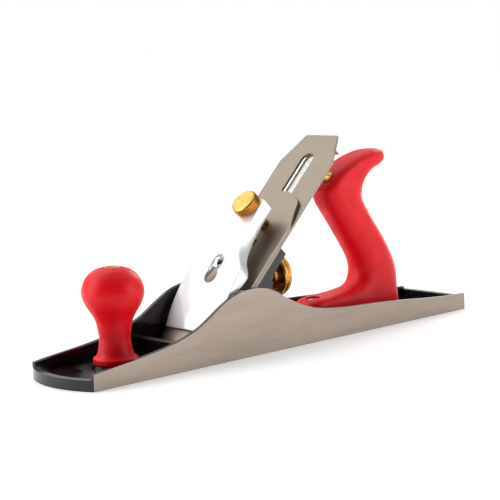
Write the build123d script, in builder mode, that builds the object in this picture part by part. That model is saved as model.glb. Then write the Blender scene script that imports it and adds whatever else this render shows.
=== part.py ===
"""Iron bench plane of jack-plane size, as an assembly of separate pieces.

Row frame: origin on the sole's bottom face, midway along the cheeks, +X towards the heel,
+Y towards the plane's right cheek, +Z up. Lengths are in millimetres.
"""
from build123d import *
import os
from math import cos, radians, sin, tan

# ---- driving dimensions ------------------------------------------------------------------
CHEEK_LENGTH = 355.0          # ground sides of the sole
SOLE_WIDTH = 63.5
TOE_BOW = 8.8                 # how far the toe's arc stands in front of the cheeks
HEEL_BOW = 1.2
FLOOR = 3.6                   # thickness of the sole itself
WALL = 3.2                    # thickness of the cheeks
TOE_LIP_HEIGHT = 7.0
HEEL_LIP_HEIGHT = 10.4
TOE_CHEEK = 10.4              # cheeks' height at each end
HEEL_CHEEK = 12.0
LIP_THICKNESS = 4.5

BED_FOOT_X = -81.95           # where the iron's upper face would meet the sole's bottom
BED_ANGLE = 45.0
IRON_WIDTH = 50.8
IRON_THICKNESS = 2.0
IRON_TOP = 197.0              # distances along the bed, from the sole's bottom
IRON_SHOULDER = 172.0
IRON_TOP_HALF = 15.3
IRON_EDGE = 1.0
IRON_SLOT = 11.1
CAP_IRON_THICKNESS = 2.4
CAP_IRON_TOP = 142.9

SEAT_Z = 10.0                 # machined seat of the frog
RUNNING = 0.05                # clearance of sliding and turning fits
AXIS_LCS = 68.4               # stations along the bed: lever cap screw
AXIS_CIS = 83.0               # cap iron screw
AXIS_FINGER = 97.0            # finger of the adjusting yoke
AXIS_ROLLER = 106.0           # lateral roller
AXIS_LATERAL = 116.5          # lateral lever's pivot
AXIS_THUMB = 113.0            # thumbscrew of the lever cap
KEYHOLE_TRAVEL = 11.4         # lever cap slides this far to clear its screw

WHEEL_AXIS_Z = 45.2
WHEEL_RADIUS = 15.0
GROOVE_X = -3.9               # middle of the wheel's groove
YOKE_DEPTH = -13.0            # yoke's pivot below the iron's upper face

KNOB_X = -136.0
KNOB_SEAT_Z = 6.8
KNOB_TOP_Z = 68.6
ROD_RADIUS = 2.9

TOTE_THICKNESS = 26.0
TOTE_SEAT_Z = 6.0
TOTE_NUT = (61.5, 108.3)      # x, z of the tote nut's top
TOTE_LEAN = 30.0              # rod's lean from the vertical
TOE_SCREW_X = 44.0

HALF_W = SOLE_WIDTH / 2
HALF_L = CHEEK_LENGTH / 2
HALF_IRON = IRON_WIDTH / 2
S = sin(radians(BED_ANGLE))

# Sketch planes: "bed" takes (along the bed, across), "side" takes (along, above the bed).
bed = Plane(origin=(BED_FOOT_X, 0, 0), x_dir=(1, 0, 1), z_dir=(-1, 0, 1))
side = Plane(origin=(BED_FOOT_X, 0, 0), x_dir=(1, 0, 1), z_dir=(0, -1, 0))


def bed_point(along, above):
    """x, z of a point given along the bed and above the iron's upper face."""
    return BED_FOOT_X + (along - above) * S, (along + above) * S


def bed_cylinder(along, radius, low, high, mode=Mode.ADD):
    """Cylinder square to the bed."""
    with BuildSketch(bed.offset(low)) as disc:
        with Locations((along, 0)):
            Circle(radius)
    extrude(disc.sketch, amount=high - low, mode=mode)


def x_cylinder(z, radius, start, end, mode=Mode.ADD):
    """Cylinder along X on the centre line."""
    with BuildSketch(Plane.YZ.offset(start)) as disc:
        with Locations((0, z)):
            Circle(radius)
    extrude(disc.sketch, amount=end - start, mode=mode)


def z_cylinder(x, y, radius, low, high, mode=Mode.ADD):
    """Upright cylinder."""
    with BuildSketch(Plane.XY.offset(low)) as disc:
        with Locations((x, y)):
            Circle(radius)
    extrude(disc.sketch, amount=high - low, mode=mode)


def save(piece, label):
    piece.part.label = label
    export_step(piece.part, f"parts/{label}.step")


os.makedirs("parts", exist_ok=True)

# ---- sole casting ------------------------------------------------------------------------
TOE_X = -HALF_L - TOE_BOW
FROG_SCREW_X = -40.0
FROG_SCREW_Y = 14.5
FROG_SCREW_R = 2.75
ADJUST_Z = 15.0
ADJUST_R = 2.4
TOTE_BOSS_X = 118.5
TOTE_BOSS_TOP = 12.0
TOE_BOSS_TOP = 11.0
TOE_SCREW_R = 2.25
KNOB_PAD_HEIGHT = 1.6
RIB_WIDTH = 2.0
RIB_HEIGHT = 2.2
cheek_crest = [(-HALF_L, TOE_CHEEK), (-150, 13.7), (-117, 18.5), (-92, 26.4), (-66, 40.8),
               (-47.5, 45), (-29, 42.6), (-10.8, 33.4), (8.3, 25.6), (38, 20.9),
               (80, 18.7), (125, 15), (HALF_L, HEEL_CHEEK)]
MOUTH_FRONT = -86.2
MOUTH_HALF = HALF_IRON + 1.9
RIB_TOP = 12.5
mouth = [(MOUTH_FRONT, -1), (MOUTH_FRONT, RIB_TOP + 1), (-60, RIB_TOP + 1), (-66.3, SEAT_Z),
         (-77.3, -1)]

with BuildPart() as sole:
    with BuildSketch():
        with BuildLine():
            ThreePointArc((-HALF_L, -HALF_W), (TOE_X, 0), (-HALF_L, HALF_W))
            Line((-HALF_L, HALF_W), (HALF_L, HALF_W))
            ThreePointArc((HALF_L, HALF_W), (HALF_L + HEEL_BOW, 0), (HALF_L, -HALF_W))
            Line((HALF_L, -HALF_W), (-HALF_L, -HALF_W))
        make_face()
    extrude(amount=FLOOR)
    # toe and heel lips
    with BuildSketch():
        with BuildLine():
            ThreePointArc((-HALF_L, -HALF_W), (TOE_X, 0), (-HALF_L, HALF_W))
            Line((-HALF_L, HALF_W), (-HALF_L + LIP_THICKNESS, HALF_W))
            ThreePointArc((-HALF_L + LIP_THICKNESS, HALF_W), (TOE_X + LIP_THICKNESS, 0),
                          (-HALF_L + LIP_THICKNESS, -HALF_W))
            Line((-HALF_L + LIP_THICKNESS, -HALF_W), (-HALF_L, -HALF_W))
        make_face()
    extrude(amount=TOE_LIP_HEIGHT)
    with BuildSketch():
        with BuildLine():
            ThreePointArc((HALF_L, HALF_W), (HALF_L + HEEL_BOW, 0), (HALF_L, -HALF_W))
            Line((HALF_L, -HALF_W), (HALF_L - LIP_THICKNESS, -HALF_W))
            Line((HALF_L - LIP_THICKNESS, -HALF_W), (HALF_L - LIP_THICKNESS, HALF_W))
            Line((HALF_L - LIP_THICKNESS, HALF_W), (HALF_L, HALF_W))
        make_face()
    extrude(amount=HEEL_LIP_HEIGHT)
    # cheeks
    for y in (-HALF_W + WALL, HALF_W):
        with BuildSketch(Plane.XZ.offset(-y)):
            with BuildLine():
                Spline(*cheek_crest)
                Polyline(cheek_crest[-1], (HALF_L, 0), (-HALF_L, 0), cheek_crest[0])
            make_face()
        extrude(amount=WALL)
    # knob boss on its pad, rib in front of the mouth, frog seat
    with BuildSketch(Plane.XY.offset(FLOOR)):
        with Locations((KNOB_X, 0)):
            RectangleRounded(46, 36, 4)
    extrude(amount=KNOB_PAD_HEIGHT)
    z_cylinder(KNOB_X, 0, 15.5, FLOOR, KNOB_SEAT_Z)
    with BuildSketch(Plane.XY.offset(FLOOR)):
        with Locations((MOUTH_FRONT - 3, 0)):
            Rectangle(6, SOLE_WIDTH - WALL)
    extrude(amount=RIB_TOP - FLOOR)
    with BuildSketch(Plane.XY.offset(FLOOR)):
        with Locations((-42, 0)):
            Rectangle(60, 52)
    extrude(amount=SEAT_Z - FLOOR)
    with BuildSketch(Plane.XY.offset(SEAT_Z)):
        with Locations((-21.5, 0)):
            Rectangle(9, 12)
    extrude(amount=ADJUST_Z + 5 - SEAT_Z)
    # tote seat and the bosses that enter the tote
    with BuildSketch(Plane.XY.offset(FLOOR)):
        with Locations((79, 0)):
            RectangleRounded(100, 24, 6)
    extrude(amount=TOTE_SEAT_Z - FLOOR)
    z_cylinder(TOTE_BOSS_X, 0, 7, FLOOR, TOTE_BOSS_TOP)
    z_cylinder(TOE_SCREW_X, 0, 6, FLOOR, TOE_BOSS_TOP)
    # stiffening ribs of the rear floor
    with BuildSketch(Plane.XY.offset(FLOOR)):
        for x in (10, 25, 134, 144, 154, 164):
            with Locations((x, 0)):
                Rectangle(RIB_WIDTH, SOLE_WIDTH - WALL)
        for y in (-20, -10, 0, 10, 20):
            with Locations((151, y)):
                Rectangle(44, RIB_WIDTH)
    extrude(amount=RIB_HEIGHT)
    # holes and the mouth
    z_cylinder(KNOB_X, 0, ROD_RADIUS, 1.5, 20, Mode.SUBTRACT)
    for y in (-FROG_SCREW_Y, FROG_SCREW_Y):
        z_cylinder(FROG_SCREW_X, y, FROG_SCREW_R, 3, 20, Mode.SUBTRACT)
    x_cylinder(ADJUST_Z, ADJUST_R + RUNNING, -30, -15, Mode.SUBTRACT)
    z_cylinder(TOE_SCREW_X, 0, TOE_SCREW_R, FLOOR - 0.1, 20, Mode.SUBTRACT)
    rod_plane = Plane(origin=(TOTE_NUT[0], 0, TOTE_NUT[1]), x_dir=(0, 1, 0),
                      z_dir=(sin(radians(TOTE_LEAN)), 0, -cos(radians(TOTE_LEAN))))
    ROD_REACH = (TOTE_NUT[1] - 3) / cos(radians(TOTE_LEAN))
    with BuildSketch(rod_plane.offset(ROD_REACH - 14)):
        Circle(ROD_RADIUS)
    extrude(amount=14, mode=Mode.SUBTRACT)
    with BuildSketch(Plane.XZ):
        Polygon(*mouth, align=None)
    extrude(amount=MOUTH_HALF, both=True, mode=Mode.SUBTRACT)
    # softened rims of the cheeks
    crest_edges = sole.edges().filter_by(lambda e: e.length > 300).group_by(Axis.Z)[-1]
    fillet(crest_edges, 0.5)
save(sole, "sole")

# ---- front knob, its stud and nut --------------------------------------------------------
NUT_HEAD_R = 4.8
NUT_BARREL_R = 3.9
NUT_HEAD_HEIGHT = 3.4
NUT_LENGTH = 20.0
with BuildPart() as front_knob:
    with BuildSketch(Plane.XZ):
        with BuildLine():
            Line((KNOB_X, KNOB_SEAT_Z), (KNOB_X + 13.2, KNOB_SEAT_Z))
            ThreePointArc((KNOB_X + 13.2, KNOB_SEAT_Z), (KNOB_X + 14.5, KNOB_SEAT_Z + 3.6),
                          (KNOB_X + 13.6, KNOB_SEAT_Z + 7.2))
            Spline((KNOB_X + 13.6, KNOB_SEAT_Z + 7.2), (KNOB_X + 10.7, KNOB_SEAT_Z + 11.4),
                   (KNOB_X + 10.1, 24.4), (KNOB_X + 12.2, 35), (KNOB_X + 17.9, 45),
                   (KNOB_X + 19.9, 52.6), (KNOB_X + 17.4, 60.8), (KNOB_X + 12, 66),
                   (KNOB_X + 6, KNOB_TOP_Z - 0.4))
            Line((KNOB_X + 6, KNOB_TOP_Z - 0.4), (KNOB_X, KNOB_TOP_Z - 0.4))
            Line((KNOB_X, KNOB_TOP_Z - 0.4), (KNOB_X, KNOB_SEAT_Z))
        make_face()
    revolve(axis=Axis((KNOB_X, 0, 0), (0, 0, 1)))
    z_cylinder(KNOB_X, 0, NUT_BARREL_R + 0.1, 0, 80, Mode.SUBTRACT)
    z_cylinder(KNOB_X, 0, NUT_HEAD_R + 0.1, KNOB_TOP_Z - NUT_HEAD_HEIGHT, 80, Mode.SUBTRACT)
save(front_knob, "front_knob")

with BuildPart() as knob_rod:
    z_cylinder(KNOB_X, 0, ROD_RADIUS, 1.6, KNOB_TOP_Z - 5)
save(knob_rod, "knob_rod")

with BuildPart() as knob_nut:
    z_cylinder(KNOB_X, 0, NUT_HEAD_R, KNOB_TOP_Z - NUT_HEAD_HEIGHT, KNOB_TOP_Z)
    fillet(knob_nut.edges().filter_by(GeomType.CIRCLE).sort_by(Axis.Z)[-1], 1.2)
    z_cylinder(KNOB_X, 0, NUT_BARREL_R, KNOB_TOP_Z - NUT_LENGTH, KNOB_TOP_Z - NUT_HEAD_HEIGHT)
    z_cylinder(KNOB_X, 0, ROD_RADIUS, KNOB_TOP_Z - NUT_LENGTH, KNOB_TOP_Z - 4.8, Mode.SUBTRACT)
    with BuildSketch(Plane.XY.offset(KNOB_TOP_Z)):
        with Locations((KNOB_X, 0)):
            Rectangle(12, 1.2)
    extrude(amount=-1.4, mode=Mode.SUBTRACT)
save(knob_nut, "knob_nut")

# ---- tote, its rod, nut and toe screw ----------------------------------------------------
TOTE_EDGE = 3.0
TOE_HEAD_SEAT = 20.4
TOE_HEAD_TOP = 23.2
TOTE_NUT_HEAD = 2.6           # the tote nut's head, above the rod plane
tote_back = [(128.4, 18), (125.2, 38), (114.8, 59.7), (99, 81.5), (91.5, 96), (97, 110), (116, 119.4)]
tote_top = [(115, 126.6), (98, 125.6), (76, 118.4), (57.5, 106.2)]
tote_front = [(54.8, 90), (63.4, 77.8), (76, 60.9), (86.3, 45), (87.4, 35), (79, 27.2), (62, 24.8)]
with BuildPart() as tote:
    with BuildSketch(Plane.XZ):
        with BuildLine():
            Line((36, TOTE_SEAT_Z), (124, TOTE_SEAT_Z))
            ThreePointArc((124, TOTE_SEAT_Z), (127.2, 8.5), tote_back[0])
            Spline(*tote_back)
            ThreePointArc(tote_back[-1], (120.2, 123.2), tote_top[0])
            Spline(*tote_top)
            ThreePointArc(tote_top[-1], (52.2, 98.6), tote_front[0])
            Spline(*tote_front)
            Line(tote_front[-1], (40, 23.6))
            ThreePointArc((40, 23.6), (29, 15.5), (36, TOTE_SEAT_Z))
        make_face()
    extrude(amount=TOTE_THICKNESS / 2, both=True)
    rims = tote.edges().filter_by(lambda e: abs(e.center().Y) > TOTE_THICKNESS / 2 - 0.1)
    fillet(rims.filter_by(lambda e: e.center().Z > TOTE_SEAT_Z + 1), TOTE_EDGE)
    with BuildSketch(rod_plane.offset(-20)):
        Circle(NUT_HEAD_R + 0.4)
    extrude(amount=21, mode=Mode.SUBTRACT)
    with BuildSketch(rod_plane):
        Circle(NUT_BARREL_R + 0.1)
    extrude(amount=130, mode=Mode.SUBTRACT)
    z_cylinder(TOTE_BOSS_X, 0, 7.4, 0, TOTE_BOSS_TOP + 0.4, Mode.SUBTRACT)
    z_cylinder(TOE_SCREW_X, 0, 6.4, 0, TOE_BOSS_TOP + 0.1, Mode.SUBTRACT)
    z_cylinder(TOE_SCREW_X, 0, 2.6, 0, 60, Mode.SUBTRACT)
    z_cylinder(TOE_SCREW_X, 0, 5.0, TOE_HEAD_SEAT, 60, Mode.SUBTRACT)
save(tote, "tote")

with BuildPart() as tote_rod:
    with BuildSketch(rod_plane.offset(2)):
        Circle(ROD_RADIUS)
    extrude(amount=ROD_REACH - 2.4)
save(tote_rod, "tote_rod")

with BuildPart() as tote_nut:
    with BuildSketch(rod_plane.offset(-TOTE_NUT_HEAD)):
        Circle(NUT_HEAD_R)
    extrude(amount=TOTE_NUT_HEAD + 1)
    fillet(tote_nut.edges().filter_by(GeomType.CIRCLE).sort_by(Axis.Z)[-1], 1.0)
    with BuildSketch(rod_plane.offset(1)):
        Circle(NUT_BARREL_R)
    extrude(amount=15)
    with BuildSketch(rod_plane.offset(2)):
        Circle(ROD_RADIUS)
    extrude(amount=15, mode=Mode.SUBTRACT)
    with BuildSketch(rod_plane.offset(-TOTE_NUT_HEAD)):
        Rectangle(12, 1.3)
    extrude(amount=1.5, mode=Mode.SUBTRACT)
save(tote_nut, "tote_nut")

with BuildPart() as tote_toe_screw:
    z_cylinder(TOE_SCREW_X, 0, 4.7, TOE_HEAD_SEAT, TOE_HEAD_TOP)
    fillet(tote_toe_screw.edges().filter_by(GeomType.CIRCLE).sort_by(Axis.Z)[-1], 1.2)
    z_cylinder(TOE_SCREW_X, 0, TOE_SCREW_R, FLOOR, TOE_HEAD_SEAT)
    with BuildSketch(Plane.XY.offset(TOE_HEAD_TOP)):
        with Locations((TOE_SCREW_X, 0)):
            Rectangle(1.2, 12)
    extrude(amount=-1.3, mode=Mode.SUBTRACT)
save(tote_toe_screw, "tote_toe_screw")

# ---- frog --------------------------------------------------------------------------------
FACE = -IRON_THICKNESS - RUNNING           # frog's face, just under the iron
BACK = -9.0                                # underside of the frog's bed plate
FROG_HALF = 24.5
FROG_TOP = 98.0
TONGUE_HALF = 12.0
TONGUE_TOP = 122.5
PIVOT_X, PIVOT_Z = bed_point(AXIS_FINGER, YOKE_DEPTH)
FROG_BACK_X = -20.0
BASE_BACK_X = -12.0
LEDGE_Z = 18.0
STUD_BOSS_END = -11.2
STUD_START = -22.0
STUD_R = 2.7
EAR_Y = 10.1
EAR_HALF = 1.9
PIN_R = 1.9
RIVET_R = 2.4                 # lateral lever's rivet
CLIP_SCREW_Z = 27.0
CLIP_SCREW_R = 1.6
LCS_R = 3.0                   # lever cap screw
frog_foot_x = BED_FOOT_X + SEAT_Z - 2 * FACE * S
with BuildPart() as frog:
    with BuildSketch(Plane.XZ):
        Polygon((frog_foot_x, SEAT_Z + RUNNING), bed_point(FROG_TOP, FACE),
                bed_point(FROG_TOP, BACK), (FROG_BACK_X, FROG_BACK_X - BED_FOOT_X + BACK / S),
                (FROG_BACK_X, LEDGE_Z), (BASE_BACK_X, LEDGE_Z), (BASE_BACK_X, SEAT_Z + RUNNING),
                align=None)
    extrude(amount=FROG_HALF, both=True)
    # hollows beside the middle web, open at the back
    with BuildSketch(Plane.XZ):
        Polygon((LEDGE_Z + BED_FOOT_X - BACK / S, LEDGE_Z), (0, LEDGE_Z),
                (0, -BED_FOOT_X + BACK / S), align=None)
    hollow = extrude(amount=5.9, both=True, mode=Mode.PRIVATE)
    for y in (-FROG_SCREW_Y, FROG_SCREW_Y):
        add(hollow.moved(Location((0, y, 0))), mode=Mode.SUBTRACT)
    # tongue that carries the lateral lever, and the ears for the yoke's pin
    with BuildSketch(bed.offset(BACK)):
        with BuildLine():
            Polyline((90, -TONGUE_HALF), (112, -TONGUE_HALF))
            ThreePointArc((112, -TONGUE_HALF), (TONGUE_TOP, 0), (112, TONGUE_HALF))
            Polyline((112, TONGUE_HALF), (90, TONGUE_HALF), (90, -TONGUE_HALF))
        make_face()
    extrude(amount=FACE - BACK)
    for y in (-EAR_Y, EAR_Y):
        with BuildSketch(Plane.XZ.offset(-y)):
            with Locations((PIVOT_X, PIVOT_Z)):
                Circle(4.6)
            Polygon(bed_point(88, BACK + 2), bed_point(108, BACK + 2),
                    bed_point(AXIS_FINGER + 4.6, YOKE_DEPTH - 2),
                    bed_point(AXIS_FINGER - 4.6, YOKE_DEPTH - 2), align=None)
        extrude(amount=EAR_HALF, both=True)
    # boss of the adjusting stud
    x_cylinder(WHEEL_AXIS_Z, 5.0, FROG_BACK_X - 4, STUD_BOSS_END)
    x_cylinder(WHEEL_AXIS_Z, STUD_R, STUD_START, 0, Mode.SUBTRACT)
    # channel over the sole's adjusting-screw boss
    with BuildSketch(Plane.XY.offset(SEAT_Z)):
        with Locations((-22, 0)):
            Rectangle(21, 14.6)
    extrude(amount=12.5, mode=Mode.SUBTRACT)
    # slotted holes for the frog screws, with room above for heads and screwdriver
    with BuildSketch(Plane.XY.offset(SEAT_Z)):
        with Locations((FROG_SCREW_X, -FROG_SCREW_Y), (FROG_SCREW_X, FROG_SCREW_Y)):
            SlotOverall(11.5, 2 * FROG_SCREW_R + 0.8)
    extrude(amount=10, mode=Mode.SUBTRACT)
    with BuildSketch(Plane.XY.offset(LEDGE_Z)):
        with Locations((FROG_SCREW_X, -FROG_SCREW_Y), (FROG_SCREW_X, FROG_SCREW_Y)):
            SlotOverall(15.5, 11.8)
    extrude(amount=40, mode=Mode.SUBTRACT)
    # face: lever cap screw hole, recess of the cap iron screw, finger opening, lever recess
    bed_cylinder(AXIS_LCS, LCS_R, -18, 0, Mode.SUBTRACT)
    with BuildSketch(bed.offset(-6.5)):
        with Locations((AXIS_CIS + 0.5, 0)):
            RectangleRounded(22.4, 17.6, 4)
    extrude(amount=10, mode=Mode.SUBTRACT)
    with BuildSketch(bed.offset(-12)):
        with Locations((AXIS_FINGER, 0)):
            Rectangle(10, 8)
    extrude(amount=20, mode=Mode.SUBTRACT)
    with BuildSketch(bed.offset(-4.4)):
        with Locations(((AXIS_FINGER + 130) / 2 + 1, 0)):
            Rectangle(130 - AXIS_FINGER, 16)
    extrude(amount=10, mode=Mode.SUBTRACT)
    bed_cylinder(AXIS_LATERAL, RIVET_R, -20, 0, Mode.SUBTRACT)
    # holes of the yoke's pin and the clip's screw
    with BuildSketch(Plane.XZ.offset(-20)):
        with Locations((PIVOT_X, PIVOT_Z)):
            Circle(PIN_R)
    extrude(amount=40, mode=Mode.SUBTRACT)
    x_cylinder(CLIP_SCREW_Z, CLIP_SCREW_R, FROG_BACK_X - 7, 0, Mode.SUBTRACT)
save(frog, "frog")

WASHER_TOP = 19.6
FROG_HEAD_TOP = 23.6
with BuildPart() as frog_screws:
    for y in (-FROG_SCREW_Y, FROG_SCREW_Y):
        z_cylinder(FROG_SCREW_X, y, 5.2, WASHER_TOP, FROG_HEAD_TOP)
        z_cylinder(FROG_SCREW_X, y, FROG_SCREW_R, 3.2, WASHER_TOP)
        with BuildSketch(Plane.XY.offset(FROG_HEAD_TOP)):
            with Locations((FROG_SCREW_X, y)):
                Rectangle(12, 1.3)
        extrude(amount=-1.6, mode=Mode.SUBTRACT)
save(frog_screws, "frog_screws")

with BuildPart() as frog_washers:
    for y in (-FROG_SCREW_Y, FROG_SCREW_Y):
        z_cylinder(FROG_SCREW_X, y, 5.6, LEDGE_Z + RUNNING, WASHER_TOP)
        z_cylinder(FROG_SCREW_X, y, FROG_SCREW_R + 0.1, LEDGE_Z, WASHER_TOP, Mode.SUBTRACT)
save(frog_washers, "frog_washers")

CLIP_START_X = BASE_BACK_X + RUNNING
CLIP_THICKNESS = 1.6
CLIP_FACE_X = CLIP_START_X + CLIP_THICKNESS
with BuildPart() as frog_clip:
    with BuildSketch(Plane.YZ.offset(CLIP_START_X)):
        with Locations((0, 21.5)):
            RectangleRounded(13, 19, 2)
        with Locations((0, ADJUST_Z)):
            Circle(2.1, mode=Mode.SUBTRACT)
        with Locations((0, ADJUST_Z - 3)):
            Rectangle(4.2, 6, mode=Mode.SUBTRACT)
        with Locations((0, CLIP_SCREW_Z)):
            Circle(CLIP_SCREW_R + 0.1, mode=Mode.SUBTRACT)
    extrude(amount=CLIP_THICKNESS)
    # standoff that carries the plate from the frog's web
    with BuildSketch(Plane.YZ.offset(FROG_BACK_X)):
        with Locations((0, CLIP_SCREW_Z)):
            Rectangle(13, 8)
            Circle(CLIP_SCREW_R + 0.1, mode=Mode.SUBTRACT)
    extrude(amount=CLIP_START_X - FROG_BACK_X)
save(frog_clip, "frog_clip")

CLIP_HEAD_X = CLIP_FACE_X + 2.2
with BuildPart() as frog_clip_screw:
    x_cylinder(CLIP_SCREW_Z, 2 * CLIP_SCREW_R, CLIP_FACE_X, CLIP_HEAD_X)
    x_cylinder(CLIP_SCREW_Z, CLIP_SCREW_R, FROG_BACK_X - 6.5, CLIP_FACE_X)
    with BuildSketch(Plane.YZ.offset(CLIP_HEAD_X)):
        with Locations((0, CLIP_SCREW_Z)):
            Rectangle(8, 1)
    extrude(amount=-1.0, mode=Mode.SUBTRACT)
save(frog_clip_screw, "frog_clip_screw")

NECK_START = BASE_BACK_X - 0.25       # neck that the clip's fork holds
NECK_END = CLIP_FACE_X + 0.3
ADJUST_HEAD_X = NECK_END + 5
with BuildPart() as frog_adjusting_screw:
    x_cylinder(ADJUST_Z, ADJUST_R, -28, NECK_START - 1.75)
    x_cylinder(ADJUST_Z, 3.4, NECK_START - 1.95, NECK_START)
    x_cylinder(ADJUST_Z, 1.9, NECK_START, NECK_END)
    x_cylinder(ADJUST_Z, 4.4, NECK_END, ADJUST_HEAD_X)
    with BuildSketch(Plane.YZ.offset(ADJUST_HEAD_X)):
        with Locations((0, ADJUST_Z)):
            Rectangle(10, 1.2)
    extrude(amount=-1.6, mode=Mode.SUBTRACT)
save(frog_adjusting_screw, "frog_adjusting_screw")

# ---- depth adjustment: stud, wheel, yoke -------------------------------------------------
STUD_END = 15.6
HUB_START = -8.4
RIM_START = 2.6
WHEEL_BACK = 9.2
SLEEVE_R = 4.0
HUB_R = 8.5
GROOVE_R = 5.0
with BuildPart() as adjusting_stud:
    x_cylinder(WHEEL_AXIS_Z, STUD_R, STUD_START, STUD_END)
    fillet(adjusting_stud.edges().sort_by(Axis.X)[-1], 0.8)
save(adjusting_stud, "adjusting_stud")

with BuildPart() as wheel_thread_sleeve:
    x_cylinder(WHEEL_AXIS_Z, SLEEVE_R, HUB_START, WHEEL_BACK)
    x_cylinder(WHEEL_AXIS_Z, STUD_R + RUNNING, HUB_START, WHEEL_BACK, Mode.SUBTRACT)
save(wheel_thread_sleeve, "wheel_thread_sleeve")

GROOVE_HALF = 2.7
wheel_section = [(HUB_START, SLEEVE_R + RUNNING), (HUB_START, HUB_R),
                 (GROOVE_X - GROOVE_HALF, HUB_R), (GROOVE_X - GROOVE_HALF, GROOVE_R),
                 (GROOVE_X + GROOVE_HALF, GROOVE_R), (GROOVE_X + GROOVE_HALF, HUB_R - 0.3),
                 (RIM_START + 2.4, 9.0), (RIM_START, 13.4), (RIM_START, WHEEL_RADIUS - 0.5),
                 (RIM_START + 0.5, WHEEL_RADIUS), (RIM_START + 2.7, WHEEL_RADIUS),
                 (RIM_START + 3.3, WHEEL_RADIUS - 0.9), (RIM_START + 3.9, WHEEL_RADIUS),
                 (WHEEL_BACK - 0.5, WHEEL_RADIUS), (WHEEL_BACK, WHEEL_RADIUS - 0.5),
                 (WHEEL_BACK, 11.5), (WHEEL_BACK - 1.2, 9), (WHEEL_BACK, 6.5),
                 (WHEEL_BACK, SLEEVE_R + RUNNING)]
with BuildPart() as depth_wheel:
    with BuildSketch(Plane.XZ):
        Polygon(*[(x, WHEEL_AXIS_Z + r) for x, r in wheel_section], align=None)
    revolve(axis=Axis((0, 0, WHEEL_AXIS_Z), (1, 0, 0)))
save(depth_wheel, "depth_wheel")

ARM_GAP = 5.4                 # inner face of each fork arm from the centre line
ARM_HALF = 1.2
ARM_TIP_R = 1.4
with BuildPart() as adjusting_yoke:
    with BuildSketch(Plane.XZ):
        with Locations((PIVOT_X, PIVOT_Z)):
            Circle(3.6)
    extrude(amount=7.8, both=True)
    with BuildSketch(side):
        Polygon((AXIS_FINGER - 1.8, YOKE_DEPTH), (AXIS_FINGER - 1.8, 1.6),
                (AXIS_FINGER - 1.0, 2.4), (AXIS_FINGER + 1.0, 2.4), (AXIS_FINGER + 1.8, 1.6),
                (AXIS_FINGER + 1.8, YOKE_DEPTH), align=None)
    extrude(amount=2.5, both=True)
    for y in (-ARM_GAP - ARM_HALF, ARM_GAP + ARM_HALF):
        with BuildSketch(Plane.XZ.offset(-y)):
            with Locations((GROOVE_X, WHEEL_AXIS_Z)):
                Circle(ARM_TIP_R)
            Polygon((PIVOT_X - 2.6, PIVOT_Z - 2.2), (PIVOT_X + 2.8, PIVOT_Z + 1.8),
                    (GROOVE_X + 1.3, WHEEL_AXIS_Z + 8.5), (GROOVE_X + ARM_TIP_R - 0.05, WHEEL_AXIS_Z),
                    (GROOVE_X - ARM_TIP_R + 0.05, WHEEL_AXIS_Z), (GROOVE_X - 1.3, WHEEL_AXIS_Z + 7.5),
                    align=None)
        extrude(amount=ARM_HALF, both=True)
    with BuildSketch(Plane.XZ):
        with Locations((PIVOT_X, PIVOT_Z)):
            Circle(PIN_R + RUNNING)
    extrude(amount=10, both=True, mode=Mode.SUBTRACT)
save(adjusting_yoke, "adjusting_yoke")

with BuildPart() as yoke_pin:
    with BuildSketch(Plane.XZ):
        with Locations((PIVOT_X, PIVOT_Z)):
            Circle(PIN_R)
    extrude(amount=EAR_Y + EAR_HALF + 0.2, both=True)
save(yoke_pin, "yoke_pin")

# ---- lateral adjustment: lever, rivet, roller --------------------------------------------
LEVER_TOP = -2.3
LEVER_BOTTOM = -4.1
TAB_STATION = 193.0
TAB_THICKNESS = 1.8
TAB_HALF = 7.5
PEG_R = 1.8
with BuildPart() as lateral_lever:
    with BuildSketch(bed.offset(LEVER_BOTTOM)):
        with Locations((AXIS_ROLLER, 0)):
            Circle(4.0)
        with Locations((AXIS_LATERAL, 0)):
            Circle(5.6)
        Polygon((AXIS_ROLLER, -4), (AXIS_ROLLER, 4), (AXIS_LATERAL, 5.6), (AXIS_LATERAL, -5.6),
                align=None)
        Polygon((AXIS_LATERAL, -5), (AXIS_LATERAL, 5), (150, 4.2), (TAB_STATION - 12, 4.6),
                (TAB_STATION - 4, TAB_HALF), (TAB_STATION + TAB_THICKNESS, TAB_HALF),
                (TAB_STATION + TAB_THICKNESS, -TAB_HALF), (TAB_STATION - 4, -TAB_HALF),
                (TAB_STATION - 12, -4.6), (150, -4.2), align=None)
    extrude(amount=LEVER_TOP - LEVER_BOTTOM)
    with BuildSketch(bed.offset(LEVER_BOTTOM)):
        with Locations((TAB_STATION + TAB_THICKNESS / 2, 0)):
            RectangleRounded(TAB_THICKNESS, 2 * TAB_HALF, 0.4)
    extrude(amount=-12.5)
    bed_cylinder(AXIS_ROLLER, PEG_R, LEVER_TOP, -0.3)
    bed_cylinder(AXIS_LATERAL, RIVET_R + RUNNING, -20, 0, Mode.SUBTRACT)
save(lateral_lever, "lateral_lever")

with BuildPart() as lateral_rivet:
    bed_cylinder(AXIS_LATERAL, 3.5, LEVER_TOP + RUNNING, -1.0)
    bed_cylinder(AXIS_LATERAL, RIVET_R, BACK, LEVER_TOP + RUNNING)
    bed_cylinder(AXIS_LATERAL, 3.6, BACK - 1.4, BACK)
save(lateral_rivet, "lateral_rivet")

with BuildPart() as lateral_roller:
    bed_cylinder(AXIS_ROLLER, IRON_SLOT / 2 - 0.1, -1.9, -0.15)
    bed_cylinder(AXIS_ROLLER, PEG_R + 0.3, -5, 5, Mode.SUBTRACT)
save(lateral_roller, "lateral_roller")

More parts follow.
